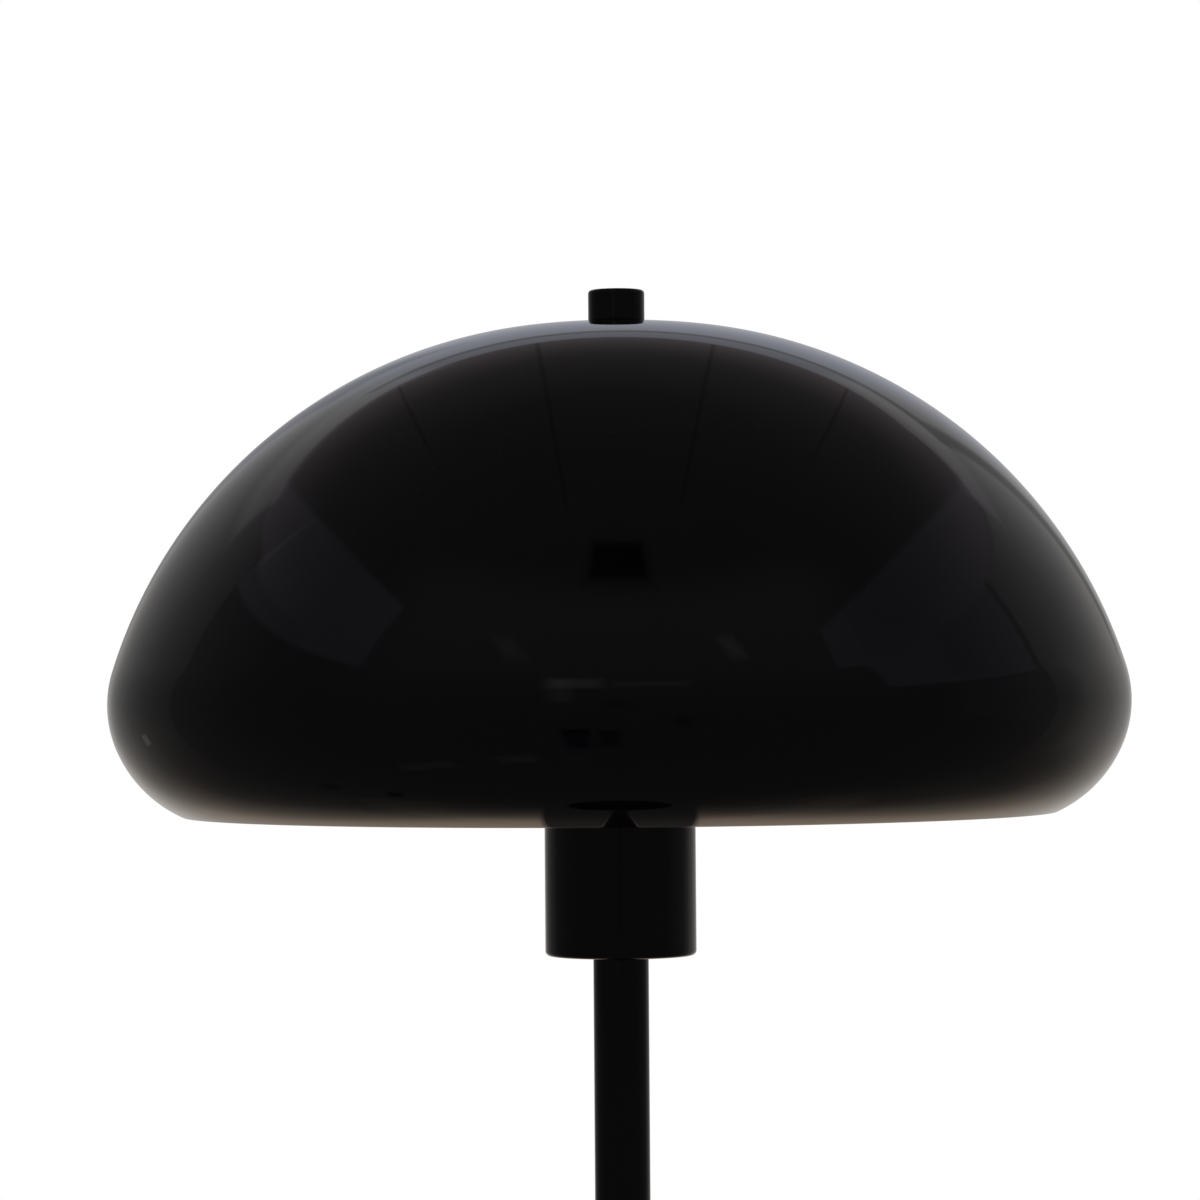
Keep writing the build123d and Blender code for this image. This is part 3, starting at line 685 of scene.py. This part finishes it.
def cutInlet(cover, radius, sharpAngle, sides=48):
    # the round hole in the skirt that the cord's bush fills: a circle carried along Y
    low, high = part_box("inlet_bush")
    x, z = (low.x + high.x) / 2, (low.z + high.z) / 2
    ring = circleSection(radius, sides)
    rows = [np.stack([x + ring[:, 0], y + 0 * ring[:, 0], z + ring[:, 1]], 1) for y in (low.y, high.y)]
    cutter = cappedPiece("inletCutter", np.stack(rows), lacquer)
    cut = cover.modifiers.new("inlet", "BOOLEAN")
    cut.operation, cut.object = "DIFFERENCE", cutter
    cover.data = bpy.data.meshes.new_from_object(cover.evaluated_get(bpy.context.evaluated_depsgraph_get()))
    cover.modifiers.clear()
    cover.data.set_sharp_from_angle(angle=np.radians(sharpAngle))
    bpy.data.objects.remove(cutter)


def makeBase():
    # the spun cover (its section's corners, rounded and turned round Z) and the foam pad
    sizes = dict(radius=0.140, wall=0.0012, edgeHeight=0.019, land=0.016, edgeRound=0.006,
                 landRound=0.040, hole=0.0054, hem=0.0004, inlet=0.00405, segments=288, sharpAngle=50)
    low, high = boxZ("base_cover")
    fall = (high - sizes["edgeHeight"]) / (sizes["radius"] - sizes["land"])
    wall, inside = sizes["wall"], sizes["radius"] - sizes["wall"]
    corners = [(sizes["hole"], high), (sizes["land"], high, sizes["landRound"]),
               (sizes["radius"], sizes["edgeHeight"], sizes["edgeRound"]),
               (sizes["radius"], low, sizes["hem"]), (inside, low, sizes["hem"]),
               (inside, sizes["edgeHeight"] + fall * wall - wall, sizes["edgeRound"] - wall),
               (sizes["land"], high - wall, sizes["landRound"]), (sizes["hole"], high - wall)]
    profile = splitRuns(roundedPath(corners, step=0.0003, closed=True), 0.006, closed=True)
    cover = lathePiece("baseCover", profile, lacquer, sizes["segments"], sharpAngle=sizes["sharpAngle"])
    cutInlet(cover, sizes["inlet"], sizes["sharpAngle"])
    seat(cover, "base_cover")
    pad = ringCorners("base_pad", inner=0.047, outer=0.136, lowRound=0.0006, highRound=0.0002)
    turnedPiece("basePad", "base_pad", pad, step=0.0002, segments=192, longest=0.01)


makeBase()
easeNodes(0.00015, "bottom_plate", "plate_screws", "inlet_bush", "base_nut", "earth_screw")
print("base made")


def makeFloor():
    # a wide disc just under the foot that fades out
    sizes = dict(radius=4.2, level=-0.0005, fadeFrom=1.6, fadeTo=4.0, touch=0.004, rings=40, segments=96)
    look = dict(pale=((0.84, 0.835, 0.825), (0.87, 0.867, 0.86)), mottle=dict(Scale=3.0, Detail=5.0))
    reach = np.linspace(0, sizes["radius"], sizes["rings"])
    profile = np.stack([reach, 0 * reach + sizes["level"]], 1)
    material, tree, shader, place = newMaterial("paleFloor", Roughness=0.75, Specular_IOR_Level=0.15)
    mottle = newNode(tree, "ShaderNodeTexNoise", {"Vector": place, **look["mottle"]}).outputs["Fac"]
    feed(tree, shader.inputs["Base Color"], mixColour(tree, mottle, *look["pale"]))
    away = newNode(tree, "ShaderNodeVectorMath", {0: place}, operation="LENGTH").outputs["Value"]
    fade = spread(tree, away, sizes["fadeFrom"], sizes["fadeTo"], smooth=True)
    # from below the floor is clear, so the foot's underside shows, and it doesn't shade what stands on it
    behind = newNode(tree, "ShaderNodeNewGeometry").outputs["Backfacing"]
    touching = spread(tree, newNode(tree, "ShaderNodeLightPath").outputs["Ray Length"],
                      0.9 * sizes["touch"], sizes["touch"], 1.0, 0.0)
    passing = fold(tree, "MAXIMUM", fade, behind, touching)
    clear = newNode(tree, "ShaderNodeBsdfTransparent").outputs[0]
    mixed = newNode(tree, "ShaderNodeMixShader", {0: passing, 1: shader.outputs[0], 2: clear})
    tree.links.new(mixed.outputs[0], tree.nodes["Material Output"].inputs["Surface"])
    floor = lathePiece("studioFloor", profile, material, sizes["segments"], closed=False)
    floor.data.flip_normals()
    floor.visible_glossy = False


def softPatch(tree, across, up, look):
    # a panel seen in a direction (across, up) in degrees: it may lean, and its lower and upper edges
    # may slope: up = edge + slope * (across - middle)
    low, high, soft = look["low"], look["high"], look["soft"] / 2
    middle, half = (look["right"] + look["left"]) / 2, (look["right"] - look["left"]) / 2
    off = mathNode(tree, "SUBTRACT", across, middle)
    if "lean" in look:
        height = mathNode(tree, "SUBTRACT", up, (low + high) / 2)
        off = mathNode(tree, "MULTIPLY_ADD", height, -look["lean"], off)
    inward = mathNode(tree, "SUBTRACT", half, mathNode(tree, "ABSOLUTE", off))
    if "slope" in look:
        up = mathNode(tree, "MULTIPLY_ADD", off, -look["slope"], up)
    away = mathNode(tree, "ABSOLUTE", mathNode(tree, "SUBTRACT", up, (low + high) / 2))
    inside = mathNode(tree, "MINIMUM", inward, mathNode(tree, "SUBTRACT", (high - low) / 2, away))
    return spread(tree, inside, -soft, soft, 0.0, look.get("strength", 1.0), smooth=True)


def degreeRamp(tree, value, stops):
    # stops are (degrees, grey or colour), from the first to the last
    first, last = stops[0][0], stops[-1][0]
    node = newNode(tree, "ShaderNodeValToRGB", {"Fac": spread(tree, value, first, last)})
    points = node.color_ramp.elements
    while len(points) < len(stops):
        points.new(0.5)
    for point, (place, tone) in zip(points, stops):
        point.position = (place - first) / (last - first)
        point.color = rgba(tone)
    return node.outputs["Color"]


def makeWall(tree, turn, side, lift):
    # the pale wall straight behind the lamp and the warm floor before it: bright in the middle,
    # fading to both sides, and ending at the room's corners; all places are in degrees
    look = dict(high=(0.50, 0.50, 0.50), middle=(0.467, 0.491, 0.571), low=(0.45, 0.44, 0.43),
                ends=(-62.5, 67.7), endTone=0.4, rightGain=1.55, bandShade=0.27)
    fall = [(0, 0.93), (12, 0.93), (16, 0.85), (20, 0.70), (25, 0.58), (30, 0.49), (40, 0.33), (50, 0.20),
            (60, 0.125), (70, 0.09), (90, 0.0)]
    lowFall = [(0, 1.0), (20, 1.0), (25, 0.70), (30, 0.50), (40, 0.20), (50, 0.10), (90, 0.05)]
    lowShare = [(-70, 0.35), (-64, 0.45), (-56, 0.95), (-35, 1.0), (-25, 0.8), (-15, 0.5), (-5, 0.4),
                (24, 0.0)]
    topLine = [(-66, 0.332), (-55, 0.348), (-40, 0.355), (-20, 0.347), (0, 0.347), (20, 0.345), (30, 0.350),
               (37, 0.330), (45, 0.310), (68, 0.316)]
    floor = [(-90, 0), (-84, 0), (-78, (0.05, 0.04, 0.03)), (-71, (0.27, 0.20, 0.14)),
             (-66, (0.45, 0.34, 0.25)), (-62, (0.75, 0.57, 0.43)), (-58, (1.15, 0.89, 0.69)),
             (-50, (1.25, 0.96, 0.73)), (-40, (1.04, 0.82, 0.63)), (-30, (0.84, 0.67, 0.53)),
             (-20, (0.63, 0.56, 0.48)), (-10, (0.60, 0.565, 0.52)), (0, look["low"])]
    across = blendAll(tree, "MULTIPLY", degreeRamp(tree, side, fall),
                      mixColour(tree, degreeRamp(tree, lift, lowShare), 1, degreeRamp(tree, side, lowFall)))
    left, right = look["ends"]
    reach = times(tree, spread(tree, turn, left - 0.5, left + 0.5, look["endTone"], 1.0),
                  spread(tree, turn, right - 0.5, right + 0.5, 1.0, look["endTone"]),
                  spread(tree, turn, 20, 60, 1.0, look["rightGain"]))
    cool = times(tree, spread(tree, side, 12, 20, 1.0, 0.0), spread(tree, lift, 5, 16))
    wall = mixColour(tree, cool, mixColour(tree, spread(tree, lift, 8, 20), look["low"], look["high"]),
                     look["middle"])
    # a dark line with a dimmer band above it, a dark post on the right, a dark shape on the left
    shapes = [dict(left=-19.0, right=27.5, low=28.0, high=30.1, slope=-0.057, soft=1.0, strength=0.5),
              dict(left=19.7, right=23.9, low=5.0, high=27.5, lean=0.25, soft=2.5, strength=0.5),
              dict(left=-15.0, right=-7.5, low=1.0, high=21.0, soft=4.0, strength=0.35)]
    band = times(tree, spread(tree, lift, 28.8, 29.6), spread(tree, side, 14, 26, look["bandShade"], 0.0))
    dark = fold(tree, "MAXIMUM", band, *[softPatch(tree, turn, lift, shape) for shape in shapes])
    top = times(tree, degreeRamp(tree, turn, topLine), 100.0)
    under = spread(tree, mathNode(tree, "SUBTRACT", top, lift), -0.5, 0.5)
    wall = mixColour(tree, under, 0, mixColour(tree, dark, wall, 0))
    whole = mixColour(tree, spread(tree, lift, -0.5, 0.5), degreeRamp(tree, lift, floor), wall)
    return blendAll(tree, "MULTIPLY", whole, across, reach), under


def makeStudio():
    # what the lacquer mirrors: a dim room with one pale wall and a warm floor behind the lamp, a
    # boarded ceiling, cool panels under its side edges and a few small things; the view itself
    # meets plain white
    room = dict(ambient=(0.057, 0.057, 0.058), ceiling=(0.142, 0.115, 0.127), leftRise=1.065, rightRise=1.0,
                seamShade=0.28, soft=0.85, softBelow=0.55, runner=(-0.0017, 0.0105), runnerShade=0.96,
                seams=[(-0.152, -0.32), (0.187, -0.30), (-0.475, 0.18), (0.51, 0.15)])
    ceilingSide = [(0, 1.0), (30, 1.0), (40, 0.75), (50, 0.6), (60, 0.45), (75, 0.25), (100, 0.0)]
    ceilingRise = [(34, 1.0), (36, 0.98), (38, 0.80), (40, 0.64), (42, 0.51), (46, 0.28), (50, 0.20),
                   (55, 0.15), (60, 0.09), (66, 0.0)]
    frontRise = [(-30, 0.0), (-12, 0.0), (0, 0.004), (20, 0.013), (30, 0.021), (40, 0.030), (48, 0.033),
                 (53, 0.018), (58, 0.0)]
    # seen from the lamp, in degrees; "edge" panels also stop at the ceiling's side edges, and a panel
    # with a strength covers what is behind it instead of adding to it
    patches = [
        dict(left=-119.5, right=-66, low=29.7, high=60, lean=-0.24, soft=1.2, tint=(0.044, 0.044, 0.062),
             edge=True),
        dict(left=-119.5, right=-98, low=29.7, high=48, lean=-0.24, soft=8.0, tint=(0.010, 0.010, 0.014),
             edge=True),
        dict(left=-66, right=-30, low=34.5, high=60, soft=1.5, tint=(0.050, 0.046, 0.058), edge=True),
        dict(left=34, right=70, low=31.5, high=60, soft=1.5, tint=(0.042, 0.039, 0.050), edge=True),
        dict(left=70, right=118.5, low=14.5, high=60, slope=-0.09, soft=1.6, tint=(0.036, 0.036, 0.054),
             edge=True),
        dict(left=98, right=118.5, low=13, high=31, slope=-0.09, soft=8.0, tint=(0.016, 0.016, 0.022)),
        dict(left=-46, right=-15, low=28.5, high=35.4, soft=4.0, tint=(0.11, 0.11, 0.12)),
        dict(left=17, right=43, low=28.5, high=33, soft=3.5, tint=(0.10, 0.10, 0.11)),
        dict(left=118.3, right=127, low=29.5, high=48, soft=1.5, tint=(0.044, 0.044, 0.062), edge=True),
        dict(left=24, right=56, low=-20, high=14, soft=14.0, tint=(0.065, 0.060, 0.056)),
        dict(left=70, right=100, low=-10, high=16, soft=10.0, tint=0.012),
        dict(left=-46.4, right=-43.4, low=-13.5, high=-10, soft=1.2, tint=0.14),
        dict(left=-79, right=-69, low=-62.6, high=-60.4, soft=1.0, tint=0, strength=0.6),
        dict(left=-77, right=-71, low=-53, high=-50, soft=1.5, tint=0, strength=0.4)]
    frontPatches = [
        dict(left=-9.5, right=9.5, low=56, high=65, soft=2.5, tint=0, strength=0.95),
        dict(left=-12, right=12, low=53.5, high=66, soft=4.0, tint=0, strength=0.3),
        dict(left=-30.5, right=-25, low=36, high=40.5, lean=-1.1, soft=3.5, tint=(0.05, 0.047, 0.05)),
        dict(left=26.3, right=30.5, low=35.5, high=40.5, lean=-0.5, soft=3.0, tint=(0.08, 0.075, 0.08)),
        dict(left=-16, right=-4, low=16, high=24, soft=5.0, tint=0.11),
        dict(left=-15, right=-10.5, low=3, high=24, soft=4.0, tint=0.05),
        dict(left=-1, right=15.5, low=16.8, high=21.6, soft=2.6, tint=0.045),
        dict(left=-3, right=3, low=-4, high=4, soft=4.0, tint=0, strength=0.25),
        dict(left=-12.8, right=-6.8, low=-40, high=-22, soft=3.0, tint=(0.004, 0.004, 0.022), strength=0.75),
        dict(left=-12.8, right=-6.8, low=-27, high=-22, soft=2.0, tint=0, strength=0.7),
        dict(left=-4.6, right=0.4, low=-39, high=-23, soft=3.0, tint=(0.004, 0.004, 0.020), strength=0.65),
        dict(left=11.8, right=15.8, low=-20, high=-11, soft=3.0, tint=0, strength=0.4),
        dict(left=-66, right=-48, low=-52.3, high=-47.6, soft=2.4, tint=0.030),
        dict(left=-34.5, right=-23, low=-51.6, high=-45.5, soft=3.0, tint=0.035),
        dict(left=-16, right=-9, low=-52.5, high=-49.5, soft=2.0, tint=0.015)]
    world = bpy.data.worlds.new("studio")
    bpy.context.scene.world = world
    world.use_nodes = True
    tree = world.node_tree
    tree.nodes.clear()
    parts = newNode(tree, "ShaderNodeSeparateXYZ",
                    {"Vector": newNode(tree, "ShaderNodeTexCoord").outputs["Generated"]}).outputs
    degrees = 180 / np.pi
    turn = times(tree, mathNode(tree, "ARCTAN2", parts["X"], parts["Y"]), degrees)
    frontTurn = times(tree, mathNode(tree, "ARCTAN2", parts["X"], times(tree, parts["Y"], -1.0)), degrees)
    side, frontSide = mathNode(tree, "ABSOLUTE", turn), mathNode(tree, "ABSOLUTE", frontTurn)
    lift = times(tree, mathNode(tree, "ARCSINE", parts["Z"]), degrees)
    wide = mathNode(tree, "ABSOLUTE", parts["X"])
    wall, underTop = makeWall(tree, turn, side, lift)
    # a dark runner lies straight behind the foot; it looks wider further down
    ratio = mathNode(tree, "DIVIDE", wide, mathNode(tree, "ABSOLUTE", parts["Z"]))
    beyond = mathNode(tree, "SUBTRACT", ratio, mathNode(tree, "MULTIPLY_ADD", lift, *room["runner"]))
    runner = times(tree, spread(tree, beyond, -0.005, 0.005, 1.0, 0.0), spread(tree, lift, -14, -20),
                   room["runnerShade"])
    wall = mixColour(tree, runner, wall, 0)
    # the ceiling glows above the wall and shows two board seams on either side of the middle
    glow = blendAll(tree, "MULTIPLY", degreeRamp(tree, lift, ceilingRise),
                    degreeRamp(tree, side, ceilingSide), room["ceiling"])
    glow = mixColour(tree, underTop, glow, 0)
    across = mathNode(tree, "DIVIDE", parts["X"], parts["Z"])
    seams = []
    for place, end in room["seams"]:
        away = mathNode(tree, "ABSOLUTE", mathNode(tree, "SUBTRACT", across, place))
        seams.append(times(tree, spread(tree, away, 0.002, 0.007, room["seamShade"], 0.0),
                           spread(tree, parts["Y"], end, end + 0.15)))
    seam = times(tree, fold(tree, "MAXIMUM", *seams), spread(tree, lift, 34, 36))
    front = times(tree, spread(tree, frontSide, 48, 78, 1.0, 0.0, smooth=True),
                  degreeRamp(tree, lift, frontRise))
    total = blendAll(tree, "ADD", wall, blendAll(tree, "ADD", glow, room["ambient"]), front)
    total = mixColour(tree, seam, total, 0)
    rise = spread(tree, turn, -1, 1, room["leftRise"], room["rightRise"])
    edge = spread(tree, mathNode(tree, "SUBTRACT", times(tree, wide, rise), parts["Z"]), -0.012, 0.012)
    for place, group in ((turn, patches), (frontTurn, frontPatches)):
        for patch in group:
            mask = softPatch(tree, place, lift, patch)
            if patch.get("edge"):
                mask = times(tree, mask, edge)
            total = mixColour(tree, mask, total, patch["tint"], "MIX" if "strength" in patch else "ADD")
    path = newNode(tree, "ShaderNodeLightPath").outputs
    # diffuse light: soft and a little stronger from above
    soft = spread(tree, parts["Z"], -1.0, 1.0, room["softBelow"] * room["soft"], room["soft"])
    seen = mixColour(tree, path["Is Glossy Ray"], soft, total)
    final = mixColour(tree, path["Is Camera Ray"], seen, 1)
    background = newNode(tree, "ShaderNodeBackground", {"Color": final, "Strength": 1.0})
    feed(tree, newNode(tree, "ShaderNodeOutputWorld").inputs["Surface"], background.outputs[0])


def makeLights():
    # soft round lamps, aimed at a height above the foot: name, place, diameter and power
    aimHeight = 0.8
    lamps = [("keySoftbox", (-1.6, -2.0, 2.9), 1.6, 26.0), ("fillSoftbox", (2.0, -1.4, 2.2), 1.8, 12.0),
             ("rearSoftbox", (0.3, 2.2, 2.6), 1.6, 10.0)]
    for name, place, size, power in lamps:
        light = bpy.data.lights.new(name, "AREA")
        light.shape, light.size, light.energy = "DISK", size, power
        lamp = addObject(name, light)
        lamp.location = place
        aim = np.array([0, 0, aimHeight]) - np.array(place)
        flat = np.hypot(aim[0], aim[1])
        lamp.rotation_euler = Euler((np.arctan2(flat, -aim[2]), 0, np.arctan2(-aim[0], aim[1])))
        lamp.visible_glossy = False


def makeCamera():
    # the photograph's view, in its 1200 x 1200 pixels: the shade's axis, the horizon and the rim are
    # at axisX, horizonY and rimY, and a metre at the lamp is "scale" pixels; roll in degrees
    view = dict(frame=1200.0, focal=4500.0, scale=2517.0, axisX=618.4, horizonY=675.0, rimY=813.3, roll=0.42,
                sensor=36.0, clipEnd=100.0)
    centre = view["frame"] / 2
    data = bpy.data.cameras.new("photoCamera")
    data.sensor_width = view["sensor"]
    data.lens = data.sensor_width * view["focal"] / view["frame"]
    data.clip_end = view["clipEnd"]
    camera = addObject("photoCamera", data)
    camera.location = (0, -view["focal"] / view["scale"],
                       boxZ("shade")[0] + (view["rimY"] - view["horizonY"]) / view["scale"])
    pitch = np.arctan2(view["horizonY"] - centre, view["focal"])
    yaw = np.arctan2(view["axisX"] - centre, view["focal"])
    turns = [Euler((0, 0, yaw)), Euler((np.pi / 2 + pitch, 0, 0)), Euler((0, 0, -np.radians(view["roll"])))]
    facing = turns[0].to_matrix() @ turns[1].to_matrix() @ turns[2].to_matrix()
    camera.rotation_euler = facing.to_euler()
    bpy.context.scene.camera = camera


makeFloor()
makeStudio()
makeLights()
makeCamera()
bpy.context.scene.view_settings.view_transform = "Standard"
print("studio made")
